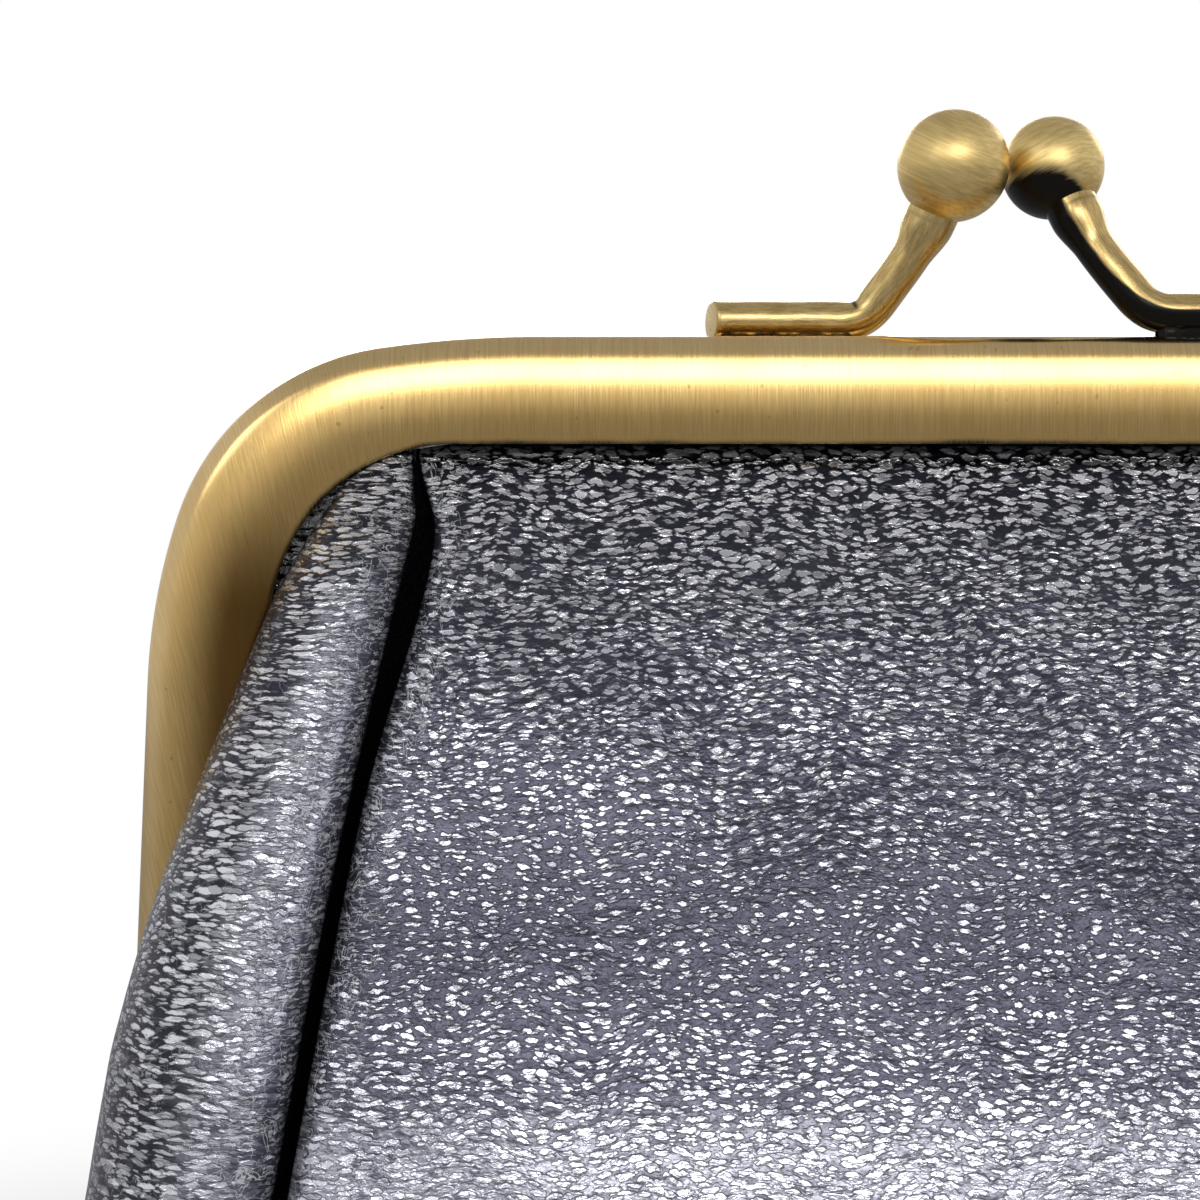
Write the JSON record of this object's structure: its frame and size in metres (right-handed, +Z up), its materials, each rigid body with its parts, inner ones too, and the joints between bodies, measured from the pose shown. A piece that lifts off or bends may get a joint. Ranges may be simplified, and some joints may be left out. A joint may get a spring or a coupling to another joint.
{
  "type": "kiss lock frame purse",
  "caption": "Small frame purse: brass frame halves hinged at the sides, crossing ball clasp, padded metallic leather bag with side gussets and a flat base.",
  "frame": {"origin": "middle of the flat base, on the surface the purse stands on", "axes": "+X along the frame to the right, +Y to the back, +Z up"},
  "size_m": [0.142, 0.0492, 0.1255],
  "materials": {
    "antique_brass": "brushed antique",
    "dark_brass": "antique",
    "pewter_leather": "crinkled metallic",
    "lining_cloth": "matte weave",
    "wadding": "matte",
    "paper_cord": "matte",
    "board": "matte"
  },
  "bodies": {
    "bag": {"front_panel_bottom": "pewter_leather", "back_panel_bottom": "pewter_leather", "left_gusset": "pewter_leather", "right_gusset": "pewter_leather", "bottom_panel": "pewter_leather", "base_board": "board", "front_wadding_bottom": "wadding", "back_wadding_bottom": "wadding", "lining_bag": "lining_cloth"},
    "front_half": {"front_frame": "antique_brass", "left_rivet": "dark_brass", "right_clasp_stem": "antique_brass", "right_clasp_ball": "antique_brass", "front_channel_cord": "paper_cord", "front_panel_top": "pewter_leather", "left_front_wing": "pewter_leather", "right_front_wing": "pewter_leather", "front_wadding_top": "wadding", "front_lining_top": "lining_cloth"},
    "back_half": {"back_frame": "antique_brass", "right_rivet": "dark_brass", "left_clasp_stem": "antique_brass", "left_clasp_ball": "antique_brass", "back_channel_cord": "paper_cord", "back_panel_top": "pewter_leather", "left_back_wing": "pewter_leather", "right_back_wing": "pewter_leather", "back_wadding_top": "wadding", "back_lining_top": "lining_cloth"}
  },
  "joints": [
    {"name": "front_hinge", "type": "hinge", "parent": "bag", "child": "front_half", "pos_m": [0, 0, 0.053], "axis": [1, 0, 0], "range_deg": [0, 40], "deforming": ["front_panel_top", "left_front_wing", "right_front_wing", "front_wadding_top", "front_lining_top"]},
    {"name": "back_hinge", "type": "hinge", "parent": "bag", "child": "back_half", "pos_m": [0, 0, 0.053], "axis": [-1, 0, 0], "range_deg": [0, 40], "deforming": ["back_panel_top", "left_back_wing", "right_back_wing", "back_wadding_top", "back_lining_top"]}
  ],
  "couplings": [
    {"joint": "back_hinge", "follows": "front_hinge", "ratio": 1}
  ]
}
